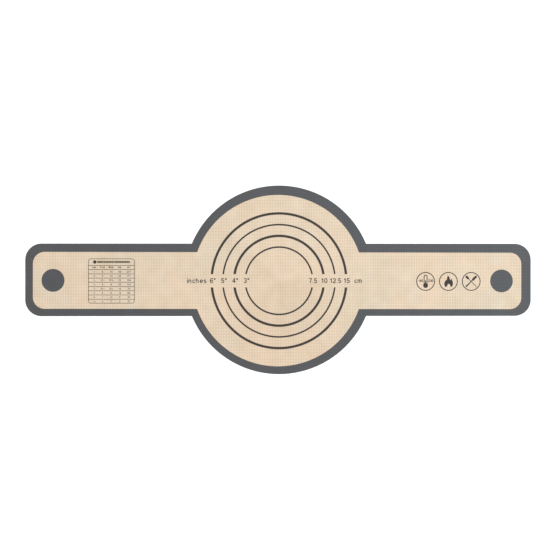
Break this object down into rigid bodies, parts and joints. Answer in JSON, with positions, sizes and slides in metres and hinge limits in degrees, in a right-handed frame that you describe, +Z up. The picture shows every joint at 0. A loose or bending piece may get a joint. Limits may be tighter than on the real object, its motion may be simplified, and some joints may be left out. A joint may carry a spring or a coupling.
{
  "type": "silicone bread sling",
  "caption": "Flat silicone-coated glass-cloth sling with a round bed and two long handles, for lowering a loaf into a hot lidded pot and lifting it out.",
  "frame": {"origin": "middle of the round bed, on the underside of the flat sheet", "axes": "+X along the handles towards the badges, +Z up through the printed face, +Y to the rear"},
  "size_m": [0.563, 0.21, 0.0008],
  "materials": {
    "beige_silicone": "satin, woven relief",
    "grey_silicone": "satin, woven relief",
    "dark_ink": "matt",
    "glass_cloth": "matt weave"
  },
  "bodies": {
    "bed": {"bed_under_coat": "beige_silicone", "bed_glass_cloth": "glass_cloth", "bed_top_coat": "beige_silicone", "bed_edge_rear": "grey_silicone", "bed_edge_front": "grey_silicone", "ring_1_rear": "dark_ink", "ring_1_front": "dark_ink", "ring_2_rear": "dark_ink", "ring_2_front": "dark_ink", "ring_3_rear": "dark_ink", "ring_3_front": "dark_ink", "ring_4_rear": "dark_ink", "ring_4_front": "dark_ink"},
    "left_riser": {"left_riser_under_coat": "beige_silicone", "left_riser_glass_cloth": "glass_cloth", "left_riser_top_coat": "beige_silicone", "left_riser_edge_rear": "grey_silicone", "left_riser_edge_front": "grey_silicone", "measure_table": "dark_ink"},
    "left_grip": {"left_grip_under_coat": "beige_silicone", "left_grip_glass_cloth": "glass_cloth", "left_grip_top_coat": "beige_silicone", "left_grip_edge": "grey_silicone", "left_grip_thumb_dot": "grey_silicone"},
    "right_riser": {"right_riser_under_coat": "beige_silicone", "right_riser_glass_cloth": "glass_cloth", "right_riser_top_coat": "beige_silicone", "right_riser_edge_rear": "grey_silicone", "right_riser_edge_front": "grey_silicone", "badge_ring_1": "dark_ink", "badge_ring_2": "dark_ink", "badge_ring_3": "dark_ink"},
    "right_grip": {"right_grip_under_coat": "beige_silicone", "right_grip_glass_cloth": "glass_cloth", "right_grip_top_coat": "beige_silicone", "right_grip_edge": "grey_silicone", "right_grip_thumb_dot": "grey_silicone"}
  },
  "joints": [
    {"name": "left_lift", "type": "hinge", "parent": "bed", "child": "left_riser", "pos_m": [-0.105, 0, 0.00075], "axis": [0, 1, 0], "range_deg": [0, 120]},
    {"name": "left_rim_turn", "type": "hinge", "parent": "left_riser", "child": "left_grip", "pos_m": [-0.2295, 0, 0], "axis": [0, -1, 0], "range_deg": [0, 150]},
    {"name": "right_lift", "type": "hinge", "parent": "bed", "child": "right_riser", "pos_m": [0.105, 0, 0.00075], "axis": [0, -1, 0], "range_deg": [0, 120]},
    {"name": "right_rim_turn", "type": "hinge", "parent": "right_riser", "child": "right_grip", "pos_m": [0.2295, 0, 0], "axis": [0, 1, 0], "range_deg": [0, 150]}
  ]
}
